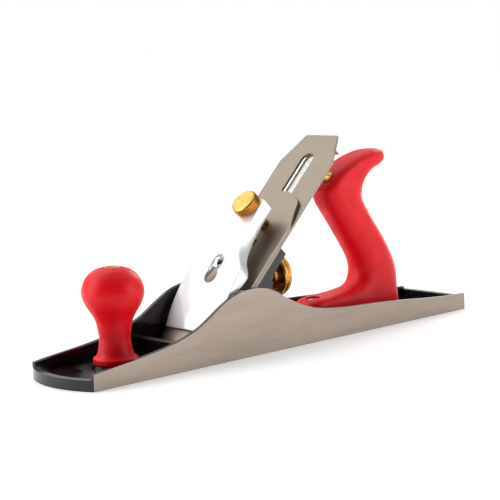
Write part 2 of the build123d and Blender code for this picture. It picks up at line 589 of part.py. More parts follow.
# ---- plane iron, cap iron and their screw ------------------------------------------------
BEVEL = IRON_THICKNESS / tan(radians(25))
SLOT_START = 52.0
SLOT_END = 177.0
SLOT_EYE = 56.0               # round opening that lets the cap iron screw's head through
with BuildPart() as plane_iron:
    with BuildSketch(bed.offset(-IRON_THICKNESS)):
        Polygon((IRON_EDGE, -HALF_IRON), (IRON_SHOULDER, -HALF_IRON), (IRON_TOP, -IRON_TOP_HALF),
                (IRON_TOP, IRON_TOP_HALF), (IRON_SHOULDER, HALF_IRON), (IRON_EDGE, HALF_IRON),
                align=None)
        with Locations(((SLOT_START + SLOT_END) / 2, 0)):
            SlotOverall(SLOT_END - SLOT_START + IRON_SLOT / 2, IRON_SLOT, mode=Mode.SUBTRACT)
        with Locations((SLOT_EYE, 0)):
            Circle(8.3, mode=Mode.SUBTRACT)
    extrude(amount=IRON_THICKNESS)
    with BuildSketch(side):
        Polygon((IRON_EDGE - 1, -IRON_THICKNESS - 1), (IRON_EDGE - 1, 0), (IRON_EDGE, 0),
                (IRON_EDGE + BEVEL, -IRON_THICKNESS), (IRON_EDGE + BEVEL, -IRON_THICKNESS - 1),
                align=None)
    extrude(amount=HALF_IRON + 1, both=True, mode=Mode.SUBTRACT)
save(plane_iron, "plane_iron")

HUMP = 15.0
CIS_R = 2.95                  # cap iron screw
CIS_HEAD = -5.2
CIS_SEAT = -IRON_THICKNESS - 0.01
cap_corner = [(131, -20.6), (135, -18.9), (137.8, -15.2)]
mirrored_corner = [(along, -across) for along, across in reversed(cap_corner)]
with BuildPart() as cap_iron:
    with BuildSketch(side):
        with BuildLine():
            Line((2.6, 0.02), (2.6, 0.4))
            Spline((2.6, 0.4), (8, 4.0), (HUMP + 1, 5.4), (26, 3.9), (38, CAP_IRON_THICKNESS))
            Line((38, CAP_IRON_THICKNESS), (CAP_IRON_TOP, CAP_IRON_THICKNESS))
            Line((CAP_IRON_TOP, CAP_IRON_THICKNESS), (CAP_IRON_TOP, 0.02))
            Line((CAP_IRON_TOP, 0.02), (36, 0.02))
            Spline((36, 0.02), (25, 1.6), (HUMP + 1, 3.1), (8.6, 2.2), (4.4, 0.02))
            Line((4.4, 0.02), (2.6, 0.02))
        make_face()
    extrude(amount=HALF_IRON, both=True)
    with BuildSketch(bed):
        with BuildLine():
            Polyline((0, -HALF_IRON), (112, -HALF_IRON), cap_corner[0])
            ThreePointArc(*cap_corner)
            ThreePointArc(cap_corner[2], (CAP_IRON_TOP, 0), mirrored_corner[0])
            ThreePointArc(*mirrored_corner)
            Polyline(mirrored_corner[2], (112, HALF_IRON), (0, HALF_IRON), (0, -HALF_IRON))
        make_face()
    extrude(amount=12, both=True, mode=Mode.INTERSECT)
    with BuildSketch(bed.offset(-1)):
        with Locations((SLOT_EYE, 0)):
            Circle(6.2)
        with Locations((64, 0)):
            SlotOverall(24, 8)
        with Locations((AXIS_FINGER, 0)):
            Rectangle(5.4, 8)
        with Locations((AXIS_CIS, 0)):
            Circle(CIS_R)
    extrude(amount=8, mode=Mode.SUBTRACT)
save(cap_iron, "cap_iron")

with BuildPart() as cap_iron_screw:
    bed_cylinder(AXIS_CIS, 7.4, CIS_HEAD, CIS_SEAT)
    fillet(cap_iron_screw.edges().filter_by(GeomType.CIRCLE).sort_by(Axis.Z)[0], 1.0)
    bed_cylinder(AXIS_CIS, CIS_R, CIS_SEAT, CAP_IRON_THICKNESS)
    with BuildSketch(bed.offset(CIS_HEAD)):
        with Locations((AXIS_CIS, 0)):
            Rectangle(1.6, 18)
    extrude(amount=1.5, mode=Mode.SUBTRACT)
save(cap_iron_screw, "cap_iron_screw")

# ---- lever cap, its screw and thumbscrew -------------------------------------------------
CAP_FOOT = 19.0
CAP_TOP = 120.2
CAP_WALL = 3.2
HEAD_SEAT = 17.0
HEAD_TOP = HEAD_SEAT + 3.2
KEYHOLE = 6.8
HOLLOW_START = 48.0           # hollow of the underside, from here up
cap_crown = [(CAP_FOOT, 7.0), (30, 11.3), (44, 14.6), (64, 17.6), (90, 19.4), (CAP_TOP, 21.0)]
cap_under = [(CAP_FOOT + 1.5, 5.8), (32, 8.0), (46, 11.0), (64, 14.2), (90, 16.2), (CAP_TOP + 1, 17.8)]


def cap_plan(inset):
    """Half outline of the lever cap's plan, set back by inset, as (along, across) points."""
    wide = HALF_IRON - 0.4 - inset
    narrow = 9.8 - inset
    return [(64 - inset * 0.6, wide), (68, 22.4 - inset), (73.5, 17.2 - inset),
            (80, 13.1 - inset), (94, 11.3 - inset), (108, narrow)]


# hollow underside between the flanges
with BuildPart() as cap_hollow:
    with BuildSketch(side):
        with BuildLine():
            Spline(*cap_under)
            Polyline(cap_under[-1], (CAP_TOP + 1, -2), (CAP_FOOT + 1.5, -2), cap_under[0])
        make_face()
    extrude(amount=HALF_IRON, both=True)
    with BuildSketch(bed.offset(-3)):
        with BuildLine():
            inner = cap_plan(CAP_WALL)
            Spline(*inner)
            Polyline(inner[-1], (CAP_TOP - 3, inner[-1][1]), (CAP_TOP - 3, 0),
                     (HOLLOW_START, 0), (HOLLOW_START, inner[0][1]), inner[0])
        make_face()
        mirror(about=Plane.XZ)
    extrude(amount=30, mode=Mode.INTERSECT)

with BuildPart() as lever_cap:
    with BuildSketch(side):
        with BuildLine():
            Spline(*cap_crown)
            Polyline(cap_crown[-1], (CAP_TOP, 10.6), (96, 10.2), (72, 8.9), (58, 9.0), (49, 11.0))
            Spline((49, 11.0), (46, 10.6), (32, 8.0), (CAP_FOOT + 1.2, 5.9))
            Line((CAP_FOOT + 1.2, 5.9), cap_crown[0])
        make_face()
    extrude(amount=HALF_IRON, both=True)
    with BuildSketch(bed):
        with BuildLine():
            outer = cap_plan(0)
            Spline(*outer)
            Polyline(outer[-1], (CAP_TOP + 1, outer[-1][1]), (CAP_TOP + 1, 0),
                     (CAP_FOOT - 1, 0), (CAP_FOOT - 1, outer[0][1]), outer[0])
        make_face()
        mirror(about=Plane.XZ)
    extrude(amount=30, mode=Mode.INTERSECT)
    add(cap_hollow.part, mode=Mode.SUBTRACT)
    # boss that the thumbscrew runs in, then the holes
    bed_cylinder(AXIS_THUMB, 6.0, 11.0, 18.6)
    bed_cylinder(AXIS_THUMB, 3.1, 5, 25, Mode.SUBTRACT)
    with BuildSketch(bed.offset(HEAD_SEAT)):
        with Locations((AXIS_LCS - 6, 0)):
            SlotOverall(24, 11.4)
    extrude(amount=8, mode=Mode.SUBTRACT)
    with BuildSketch(bed.offset(5)):
        with Locations((AXIS_LCS - KEYHOLE_TRAVEL / 2, 0)):
            SlotOverall(KEYHOLE_TRAVEL + KEYHOLE, KEYHOLE)
        with Locations((AXIS_LCS - KEYHOLE_TRAVEL, 0)):
            Circle(5.6)
    extrude(amount=20, mode=Mode.SUBTRACT)
save(lever_cap, "lever_cap")

with BuildPart() as lever_cap_screw:
    bed_cylinder(AXIS_LCS, 4.9, HEAD_SEAT + RUNNING, HEAD_TOP)
    fillet(lever_cap_screw.edges().filter_by(GeomType.CIRCLE).sort_by(Axis.Z)[-1], 1.8)
    bed_cylinder(AXIS_LCS, LCS_R, -16, HEAD_SEAT + RUNNING)
    with BuildSketch(bed.offset(HEAD_TOP)):
        with Locations((AXIS_LCS, 0)):
            Rectangle(1.3, 12)
    extrude(amount=-1.8, mode=Mode.SUBTRACT)
save(lever_cap_screw, "lever_cap_screw")

THUMB_BASE = 21.4
THUMB_SIDE = 6.0              # height of the knurled side
THUMB_TOP = 28.6
THUMB_R = 9.4
THUMB_STEM_R = 3.0
PAD_TOP = 4.9
PAD_SPIGOT_R = 1.8
with BuildPart() as thumbscrew:
    # domed head, as half a section turned about the screw's axis
    with BuildSketch(side):
        with BuildLine():
            rim = (AXIS_THUMB + THUMB_R, THUMB_BASE + THUMB_SIDE)
            crown = (AXIS_THUMB, THUMB_TOP)
            Polyline(crown, (AXIS_THUMB, THUMB_BASE), (AXIS_THUMB + THUMB_R, THUMB_BASE), rim)
            TangentArc(crown, rim, tangent=(1, 0))
        make_face()
    thumb_axis = Axis((bed_point(AXIS_THUMB, 0)[0], 0, bed_point(AXIS_THUMB, 0)[1]), (-1, 0, 1))
    revolve(axis=thumb_axis)
    bed_cylinder(AXIS_THUMB, 5.6, THUMB_BASE - 0.3, THUMB_BASE)
    bed_cylinder(AXIS_THUMB, THUMB_STEM_R, PAD_TOP + 0.1, THUMB_BASE - 0.3)
    bed_cylinder(AXIS_THUMB, PAD_SPIGOT_R, CAP_IRON_THICKNESS + 1.2, PAD_TOP + 0.1)
save(thumbscrew, "thumbscrew")

with BuildPart() as thumbscrew_pad:
    bed_cylinder(AXIS_THUMB, 4.4, CAP_IRON_THICKNESS + 0.3, PAD_TOP)
    bed_cylinder(AXIS_THUMB, PAD_SPIGOT_R + 0.08, CAP_IRON_THICKNESS + 1.1, PAD_TOP + 1,
                 Mode.SUBTRACT)
save(thumbscrew_pad, "thumbscrew_pad")
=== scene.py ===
"""Looks of the iron bench plane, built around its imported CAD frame. Lengths are in metres."""
from math import cos, pi, radians, sin, sqrt

import bmesh
import bpy
from mathutils import Matrix, Vector


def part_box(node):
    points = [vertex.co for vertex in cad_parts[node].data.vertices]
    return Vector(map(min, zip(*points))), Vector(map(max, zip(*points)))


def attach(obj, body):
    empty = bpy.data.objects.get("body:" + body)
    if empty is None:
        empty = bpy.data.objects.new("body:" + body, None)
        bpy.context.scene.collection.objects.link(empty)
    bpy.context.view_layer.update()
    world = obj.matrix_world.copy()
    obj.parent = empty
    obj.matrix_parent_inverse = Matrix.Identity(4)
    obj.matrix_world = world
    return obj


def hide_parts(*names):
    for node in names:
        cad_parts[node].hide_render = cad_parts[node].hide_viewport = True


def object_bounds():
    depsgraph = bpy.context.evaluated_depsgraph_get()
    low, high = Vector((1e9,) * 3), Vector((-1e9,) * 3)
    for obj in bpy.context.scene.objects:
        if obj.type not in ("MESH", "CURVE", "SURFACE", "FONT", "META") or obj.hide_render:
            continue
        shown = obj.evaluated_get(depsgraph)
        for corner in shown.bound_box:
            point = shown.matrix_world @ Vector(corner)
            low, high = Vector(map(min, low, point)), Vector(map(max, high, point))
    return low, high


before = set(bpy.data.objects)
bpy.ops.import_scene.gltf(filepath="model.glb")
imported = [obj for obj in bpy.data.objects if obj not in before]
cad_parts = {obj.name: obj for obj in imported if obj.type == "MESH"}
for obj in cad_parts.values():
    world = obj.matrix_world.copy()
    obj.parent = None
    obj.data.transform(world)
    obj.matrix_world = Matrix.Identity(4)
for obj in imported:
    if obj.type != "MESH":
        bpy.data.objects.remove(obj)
cad_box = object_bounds()

# ---- sole casting ------------------------------------------------------------------------
# The plane's body: grey iron cast in one with its cheeks, lips, bosses and ribs.
# The sole and the cheeks' outer faces are ground bright along the plane, and everything
# else is stoved black enamel with a slight ripple.
MM = 0.001


def new_finish(name, colour, roughness, metallic=0.0):
    """A new material, with its tree, its surface shader and the piece's own coordinates."""
    finish = bpy.data.materials.new(name)
    finish.use_nodes = True
    tree = finish.node_tree
    surface = tree.nodes["Principled BSDF"]
    surface.inputs["Base Color"].default_value = (*colour, 1)
    surface.inputs["Roughness"].default_value = roughness
    surface.inputs["Metallic"].default_value = metallic
    place = tree.nodes.new("ShaderNodeTexCoord").outputs["Object"]
    return finish, tree, surface, place


def mottle(tree, place, size, drawn_out=(1, 1, 1), turn=(0, 0, 0), detail=2.0):
    """Noise with blotches of about that size, drawn out along the turned axes."""
    mapping = tree.nodes.new("ShaderNodeMapping")
    mapping.vector_type = "TEXTURE"
    mapping.inputs["Rotation"].default_value = turn
    mapping.inputs["Scale"].default_value = drawn_out
    noise = tree.nodes.new("ShaderNodeTexNoise")
    noise.inputs["Scale"].default_value = 1 / size
    noise.inputs["Detail"].default_value = detail
    tree.links.new(place, mapping.inputs["Vector"])
    tree.links.new(mapping.outputs["Vector"], noise.inputs["Vector"])
    return noise.outputs["Fac"]


def reckon(tree, operation, first, second=None):
    """One sum on one or two values, each a socket or a number."""
    node = tree.nodes.new("ShaderNodeMath")
    node.operation = operation
    for socket, value in zip(node.inputs, (first, second)):
        if isinstance(value, (int, float)):
            socket.default_value = value
        elif value is not None:
            tree.links.new(value, socket)
    return node.outputs[0]


def near(tree, value, middle, reach):
    """1 where the value is within reach of the middle, else 0."""
    gap = reckon(tree, "ABSOLUTE", reckon(tree, "SUBTRACT", value, middle))
    return reckon(tree, "LESS_THAN", gap, reach)


def shades(tree, value, *stops):
    """Colours along a value; each stop is (position, colour)."""
    node = tree.nodes.new("ShaderNodeValToRGB")
    ramp = node.color_ramp
    while len(ramp.elements) < len(stops):
        ramp.elements.new(1.0)
    for element, (position, colour) in zip(ramp.elements, stops):
        element.position = position
        element.color = (*colour, 1)
    tree.links.new(value, node.inputs["Fac"])
    return node.outputs["Color"]


def levels(tree, value, low, high, first, second):
    """The value, taken from the range low to high onto first to second."""
    node = tree.nodes.new("ShaderNodeMapRange")
    for name, number in zip(("From Min", "From Max", "To Min", "To Max"), (low, high, first, second)):
        node.inputs[name].default_value = number
    tree.links.new(value, node.inputs["Value"])
    return node.outputs["Result"]


def choose(tree, mask, off, on, kind="FLOAT"):
    """off where the mask is 0, on where it is 1; each a socket, number or colour."""
    node = tree.nodes.new("ShaderNodeMix")
    node.data_type = kind
    node.clamp_factor = True
    tree.links.new(mask, node.inputs["Factor"])
    for name, value in (("A", off), ("B", on)):
        socket = [s for s in node.inputs if s.name == name and s.enabled][0]
        if isinstance(value, bpy.types.NodeSocket):
            tree.links.new(value, socket)
        else:
            socket.default_value = (*value, 1) if kind == "RGBA" else value
    return [s for s in node.outputs if s.enabled][0]


def relief(tree, surface, height, depth):
    """Raises the surface by the height times the depth."""
    bump = tree.nodes.new("ShaderNodeBump")
    bump.inputs["Distance"].default_value = depth
    tree.links.new(height, bump.inputs["Height"])
    tree.links.new(bump.outputs["Normal"], surface.inputs["Normal"])


ENAMEL = (0.010, 0.010, 0.011)
GROUND = (0.38, 0.315, 0.263)
GROUND_DARK = (0.295, 0.238, 0.198)
CHEEK_SKIN, SOLE_SKIN = 0.25 * MM, 0.02 * MM
RIB_MIDDLE, RIB_HALF, RIB_TOP = -89.2 * MM, 3.05 * MM, 12.5 * MM
enamelled, tree, surface, place = new_finish("enamelled_casting", ENAMEL, 0.2)
axes = tree.nodes.new("ShaderNodeSeparateXYZ")
tree.links.new(place, axes.inputs["Vector"])
along_plane, across_plane, height = axes.outputs
on_cheek = reckon(tree, "GREATER_THAN", reckon(tree, "ABSOLUTE", across_plane), cad_box[1].y - CHEEK_SKIN)
on_sole = reckon(tree, "LESS_THAN", height, SOLE_SKIN)
on_rib = reckon(tree, "MULTIPLY", near(tree, along_plane, RIB_MIDDLE, RIB_HALF),
                near(tree, height, RIB_TOP, SOLE_SKIN))
ground = reckon(tree, "MAXIMUM", reckon(tree, "MAXIMUM", on_cheek, on_sole), on_rib)
streaks = mottle(tree, place, 0.35 * MM, drawn_out=(45, 1, 1), detail=3)
bands = mottle(tree, place, 9 * MM, drawn_out=(5, 1, 1))
ripple = mottle(tree, place, 3.0 * MM, detail=2)
bright = shades(tree, reckon(tree, "ADD", reckon(tree, "MULTIPLY", streaks, 0.6),
                             reckon(tree, "MULTIPLY", bands, 0.4)),
                (0.32, GROUND_DARK), (0.66, GROUND))
tree.links.new(choose(tree, ground, ENAMEL, bright, "RGBA"), surface.inputs["Base Color"])
tree.links.new(choose(tree, ground, levels(tree, ripple, 0.3, 0.7, 0.1, 0.17),
                      levels(tree, streaks, 0.3, 0.7, 0.34, 0.48)), surface.inputs["Roughness"])
tree.links.new(ground, surface.inputs["Metallic"])
relief(tree, surface, choose(tree, ground, reckon(tree, "MULTIPLY", ripple, 3.0), streaks), 0.008 * MM)


def clean_copy(node):
    """A welded copy of a CAD node's mesh, with its flat faces in one piece."""
    mesh = bpy.data.meshes.new(node)
    work = bmesh.new()
    work.from_mesh(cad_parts[node].data)
    bmesh.ops.remove_doubles(work, verts=work.verts, dist=0.002 * MM)
    bmesh.ops.dissolve_limit(work, angle_limit=radians(0.4), verts=work.verts, edges=work.edges)
    work.to_mesh(mesh)
    work.free()
    for name in [a.name for a in mesh.attributes if a.name in ("custom_normal", "UVMap")]:
        mesh.attributes.remove(mesh.attributes[name])
    return mesh


def settled(piece):
    """The piece's mesh with its modifiers carried out; the piece itself is used up."""
    bpy.context.view_layer.update()
    evaluated = piece.evaluated_get(bpy.context.evaluated_depsgraph_get())
    mesh = bpy.data.meshes.new_from_object(evaluated)
    bpy.data.objects.remove(piece)
    return mesh


def eased(mesh, width, sharper_than=35, segments=2):
    """The mesh with its sharp edges broken to that width."""
    piece = bpy.data.objects.new("eased", mesh)
    bpy.context.scene.collection.objects.link(piece)
    bevel = piece.modifiers.new("edges", "BEVEL")
    bevel.width = width
    bevel.segments = segments
    bevel.limit_method = "ANGLE"
    bevel.angle_limit = radians(sharper_than)
    bevel.miter_outer = "MITER_ARC"
    return settled(piece)


def fit_piece(name, meshes, finish, body, slot, *nodes, smooth=32, flat_faces=False):
    """One finished piece of these meshes: it rides on the body and stands for the nodes."""
    work = bmesh.new()
    for mesh in meshes:
        work.from_mesh(mesh)
    mesh = bpy.data.meshes.new(name)
    work.to_mesh(mesh)
    work.free()
    mesh.polygons.foreach_set("use_smooth", [True] * len(mesh.polygons))
    mesh.set_sharp_from_angle(angle=radians(smooth))
    mesh.materials.clear()
    mesh.materials.append(finish)
    mesh.polygons.foreach_set("material_index", [0] * len(mesh.polygons))
    piece = bpy.data.objects.new(name, mesh)
    bpy.context.scene.collection.objects.link(piece)
    if flat_faces:
        piece.modifiers.new("flat_faces", "WEIGHTED_NORMAL").keep_sharp = True
    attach(piece, body)
    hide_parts(*nodes)


def fit_eased(name, node, width, finish, body, slot, **more):
    """A piece with the CAD node's own shape, its sharp edges eased by that many mm."""
    fit_piece(name, [eased(clean_copy(node), width * MM)], finish, body, slot, node, **more)


def dress(node, finish):
    """Gives a CAD node its finish."""
    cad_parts[node].data.materials.clear()
    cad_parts[node].data.materials.append(finish)


dress("sole", enamelled)

# ---- front knob --------------------------------------------------------------------------
# Turned in beech, one piece from its flared foot to its ball, and dipped in red lacquer.
# It stands on the sole's boss and is bored for a stud and a countersunk brass nut.
RED = (0.86, 0.004, 0.012)
RED_DEEP = (0.76, 0.001, 0.006)
lacquer, tree, surface, place = new_finish("red_lacquer", RED, 0.38)
surface.inputs["Specular IOR Level"].default_value = 0.22
clouds = mottle(tree, place, 14 * MM, detail=3)
orange_peel = mottle(tree, place, 0.9 * MM, detail=1)
tree.links.new(shades(tree, clouds, (0.3, RED_DEEP), (0.62, RED)), surface.inputs["Base Color"])
tree.links.new(levels(tree, clouds, 0.3, 0.7, 0.44, 0.36), surface.inputs["Roughness"])
relief(tree, surface, orange_peel, 0.012 * MM)


def smooth_line(points, steps=8):
    """Points along the even curve that passes through the given ones."""
    ends = [points[0], *points, points[-1]]
    line = []
    for four in zip(ends, ends[1:], ends[2:], ends[3:]):
        for step in range(steps):
            t = step / steps
            line.append(tuple(0.5 * (2 * b + (c - a) * t + (2 * a - 5 * b + 4 * c - d) * t ** 2
                                     + (3 * b - a - 3 * c + d) * t ** 3) for a, b, c, d in zip(*four)))
    return line + [tuple(points[-1])]


def skinned(rings):
    """A closed mesh over rings of places; a ring of one place is a pole."""
    work = bmesh.new()
    rows = [[work.verts.new(place) for place in ring] for ring in rings]
    for lower, upper in zip(rows, rows[1:]):
        if len(lower) == 1 and len(upper) == 1:
            continue
        for i in range(max(len(lower), len(upper))):
            corners = [lower[i % len(lower)], lower[(i + 1) % len(lower)],
                       upper[(i + 1) % len(upper)], upper[i % len(upper)]]
            work.faces.new(list(dict.fromkeys(corners)))
    for row in (rows[0], rows[-1]):
        if len(row) > 2:
            work.faces.new(row)
    bmesh.ops.recalc_face_normals(work, faces=work.faces)
    mesh = bpy.data.meshes.new("skinned")
    work.to_mesh(mesh)
    work.free()
    return mesh


def turned(outline, foot, axis=(0, 0, 1), around=72):
    """A solid turned about an axis from its foot; the outline is (radius, height) in mm."""
    turn = Vector(axis).to_track_quat("Z", "Y")
    rings = []
    for radius, height in outline:
        count = around if radius > 0 else 1
        rings.append([foot + turn @ Vector((radius * cos(2 * pi * i / around),
                                            radius * sin(2 * pi * i / around), height)) * MM
                      for i in range(count)])
    return skinned(rings)


def cut(mesh, *tools):
    """The mesh with the tools' shapes taken out of it."""
    piece = bpy.data.objects.new("cut", mesh)
    bpy.context.scene.collection.objects.link(piece)
    cutters = []
    for tool in tools:
        cutter = bpy.data.objects.new("cutter", tool)
        bpy.context.scene.collection.objects.link(cutter)
        boolean = piece.modifiers.new("cut", "BOOLEAN")
        boolean.operation = "DIFFERENCE"
        boolean.solver = "EXACT"
        boolean.object = cutter
        cutters.append(cutter)
    result = settled(piece)
    for cutter in cutters:
        bpy.data.objects.remove(cutter)
    return result


knob_low, knob_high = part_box("front_knob")
knob_axis = Vector(((knob_low.x + knob_high.x) / 2, 0, 0))
KNOB_FOOT, KNOB_TOP = knob_low.z / MM, knob_high.z / MM
NUT_SEAT = KNOB_TOP - 3.2
flange = [(0, KNOB_FOOT), (13.1, KNOB_FOOT), (13.9, KNOB_FOOT + 0.6), (14.3, KNOB_FOOT + 1.8),
          (14.3, 10.3), (14.0, 10.75), (13.4, 10.95)]
waist_and_ball = smooth_line([(13.2, 11.0), (12.3, 12.0), (11.5, 13.5), (10.9, 15.6), (10.3, 19),
                              (10.1, 24.4), (12.2, 35), (17.9, 45), (19.9, 52.6), (17.4, 60.8),
                              (12, 65.9), (6, 68.0)])
countersink = [(5.3, 68.1), (4.95, 67.8), (4.9, NUT_SEAT), (0, NUT_SEAT)]
knob = turned(flange + waist_and_ball + countersink, knob_axis, around=96)
fit_piece("knob_turning", [knob], lacquer, "plane_body", "red_lacquer", "front_knob")

# ---- knob nut and stud -------------------------------------------------------------------
# Brass barrel nut with a slotted, slightly crowned head, and the steel stud that it pulls
# on; the stud is screwed into the boss under the knob.
BRASS = (0.82, 0.45, 0.11)
BRASS_DULL = (0.62, 0.33, 0.075)
brass, tree, surface, place = new_finish("polished_brass", BRASS, 0.2, 1.0)
tarnish = mottle(tree, place, 5 * MM, detail=4)
scuffs = mottle(tree, place, 0.25 * MM, drawn_out=(1, 6, 1), detail=2)
tree.links.new(shades(tree, tarnish, (0.3, BRASS_DULL), (0.6, BRASS)), surface.inputs["Base Color"])
tree.links.new(levels(tree, tarnish, 0.3, 0.7, 0.3, 0.18), surface.inputs["Roughness"])
relief(tree, surface, scuffs, 0.006 * MM)

STEEL = (0.60, 0.59, 0.57)
STEEL_WORN = (0.46, 0.45, 0.43)
plated, tree, surface, place = new_finish("bright_steel", STEEL, 0.28, 1.0)
wear = mottle(tree, place, 3 * MM, detail=4)
tree.links.new(shades(tree, wear, (0.3, STEEL_WORN), (0.7, STEEL)), surface.inputs["Base Color"])
tree.links.new(levels(tree, wear, 0.3, 0.7, 0.38, 0.22), surface.inputs["Roughness"])
relief(tree, surface, mottle(tree, place, 0.3 * MM), 0.006 * MM)


def slotted_head(radius, thickness, crown, foot, axis, slot_width, slot_depth, slot_along):
    """A crowned screw head with a slot along the given direction, its top edge rounded."""
    edge = 0.35
    rim = [(radius - edge + edge * cos(i * pi / 8), thickness - edge + edge * sin(i * pi / 8))
           for i in range(5)]
    dome = [(radius * (1 - i / 6) * 0.93, thickness + crown * (1 - (1 - i / 6) ** 2)) for i in range(7)]
    head = turned([(0, 0), (radius - 0.1, 0), (radius, 0.1)] + rim + dome, foot, axis, around=64)
    up = Vector(axis).normalized()
    along = Vector(slot_along).normalized()
    across = up.cross(along)
    middle = foot + up * (thickness + crown) * MM
    half = [along * radius * 1.3 * MM, across * slot_width / 2 * MM, up * slot_depth * MM]
    rings = [[middle + up * level * half[2] + a * half[0] + b * half[1]
              for a, b in ((-1, -1), (1, -1), (1, 1), (-1, 1))] for level in (-1, 1)]
    return cut(head, skinned(rings))


def threaded(radius, depth, pitch, start, end, axis, hand=1, around=20, per_turn=6):
    """A rod between two places with a real screw thread; hand -1 is left-handed."""
    turn = Vector(axis).to_track_quat("Z", "Y")
    length = (end - start).length / MM
    count = int(length / pitch * per_turn)
    rings = [[start]]
    for row in range(count + 1):
        height = length * row / count
        ring = []
        for i in range(around):
            wave = (height / pitch - hand * i / around) % 1
            reach = radius - depth * abs(2 * wave - 1)
            angle = 2 * pi * i / around
            ring.append(start + turn @ Vector((reach * cos(angle), reach * sin(angle), height)) * MM)
        rings.append(ring)
    return skinned(rings + [[end]])


nut_low, nut_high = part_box("knob_nut")
nut_head = slotted_head(radius=4.75, thickness=2.9, crown=0.45,
                        foot=knob_axis + Vector((0, 0, nut_high.z - 3.4 * MM)), axis=(0, 0, 1),
                        slot_width=1.2, slot_depth=1.3, slot_along=(1, 0.25, 0))
nut_barrel = turned([(0, 0), (3.7, 0), (3.9, 0.2), (3.9, 16.7), (0, 16.7)],
                    knob_axis + Vector((0, 0, nut_low.z)))
fit_piece("knob_nut_brass", [nut_head, nut_barrel], brass, "plane_body", "brass", "knob_nut")
rod_low, rod_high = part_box("knob_rod")
knob_stud = threaded(radius=2.9, depth=0.35, pitch=1.2, start=knob_axis + Vector((0, 0, rod_low.z)),
                     end=knob_axis + Vector((0, 0, rod_high.z)), axis=(0, 0, 1))
fit_piece("knob_stud", [knob_stud], plated, "plane_body", "bright_steel", "knob_rod")

# ---- tote --------------------------------------------------------------------------------
# The rear handle, shaped in beech and dipped in the same lacquer. Its grip is oval, its horn
# and foot are flatter, and it stands flat on its seat in the sole.
RING_POINTS = 56
tote_sections = [
    # front point, rear point (x, z), half thickness, squareness at the front and at the rear
    ((114.4, 124.6), (114.9, 119.6), 5.0, 2.4, 2.4),
    ((113.2, 126.2), (114.2, 117.6), 8.6, 2.8, 2.6),
    ((110.5, 126.6), (112.2, 115.6), 10.4, 3.4, 2.8),
    ((104.0, 126.4), (107.0, 113.6), 11.6, 3.8, 3.0),
    ((97.0, 125.2), (101.6, 111.9), 12.2, 4.2, 3.0),
    ((84.0, 121.6), (94.8, 107.2), 12.7, 4.4, 3.0),
    ((70.0, 115.2), (91.8, 101.6), 12.9, 4.4, 2.8),
    ((58.2, 106.8), (91.3, 96.0), 13.0, 4.2, 2.7),
    ((52.9, 99.8), (92.2, 91.6), 13.0, 3.4, 2.6),
    ((54.6, 90.4), (95.4, 86.4), 13.0, 2.7, 2.6),
    ((63.4, 77.8), (101.6, 77.4), 13.0, 2.4, 2.6),
    ((76.0, 60.9), (113.2, 62.2), 13.0, 2.4, 2.7),
    ((84.6, 48.4), (121.4, 48.6), 13.0, 2.5, 2.9),
    ((88.0, 39.0), (125.6, 35.8), 13.0, 2.7, 3.4),
    ((86.0, 31.2), (126.6, 19.0), 13.0, 3.0, 4.0),
    ((81.6, 28.1), (125.4, 7.4), 13.0, 3.2, 8.0),
    ((77.0, 26.7), (112.0, 6.0), 13.0, 3.4, 30.0),
    ((70.0, 25.6), (88.0, 6.0), 13.0, 3.6, 40.0),
    ((60.0, 24.7), (66.0, 6.0), 13.0, 4.0, 40.0),
    ((48.0, 24.0), (50.0, 6.0), 13.0, 4.2, 40.0),
    ((41.0, 23.4), (42.0, 6.0), 12.6, 4.2, 40.0),
    ((36.4, 22.2), (36.6, 6.0), 11.0, 4.0, 30.0),
    ((32.6, 20.0), (32.4, 6.2), 8.2, 3.6, 20.0),
    ((30.4, 17.6), (30.2, 7.6), 5.0, 3.0, 6.0),
]


def tote_ring(section):
    """One oval ring across the handle, squarer where the section says so."""
    front, rear, half, squareness_front, squareness_rear = section[:2], section[2:4], *section[4:]
    ring = []
    for i in range(RING_POINTS):
        angle = 2 * pi * i / RING_POINTS
        power = 2 / (squareness_front if cos(angle) > 0 else squareness_rear)
        reach = abs(cos(angle)) ** power * (1 if cos(angle) > 0 else -1)
        across = abs(sin(angle)) ** power * (1 if sin(angle) > 0 else -1)
        x, z = ((f + r) / 2 + (f - r) / 2 * reach for f, r in zip(front, rear))
        ring.append(Vector((x, half * across, z)) * MM)
    return ring


rows = smooth_line([(*front, *rear, *rest) for front, rear, *rest in tote_sections], steps=6)
tote_tip = Vector((115.2, 0, 122.2)) * MM
tote_nose = Vector((29.4, 0, 13.0)) * MM
tote_body = skinned([[tote_tip]] + [tote_ring(row) for row in rows] + [[tote_nose]])
LEAN = radians(30)
tote_nut_top = Vector((61.5, 0, 108.3)) * MM
rod_up = Vector((-sin(LEAN), 0, cos(LEAN)))
toe_low, toe_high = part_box("tote_toe_screw")
toe_axis = Vector(((toe_low.x + toe_high.x) / 2, 0, 0))
NUT_SINK, SCREW_SINK, TOOL_REACH = 5.2, 5.3, 24
nut_seat = turned([(0, 0), (NUT_SINK, 0), (NUT_SINK, TOOL_REACH), (0, TOOL_REACH)],
                  tote_nut_top - rod_up * MM, rod_up)
screw_seat = turned([(0, 0), (SCREW_SINK, 0), (SCREW_SINK, TOOL_REACH), (0, TOOL_REACH)],
                    toe_axis + Vector((0, 0, toe_high.z - 2.9 * MM)))
fit_piece("tote_shaping", [cut(tote_body, nut_seat, screw_seat)], lacquer, "plane_body", "red_lacquer",
          "tote", smooth=40)

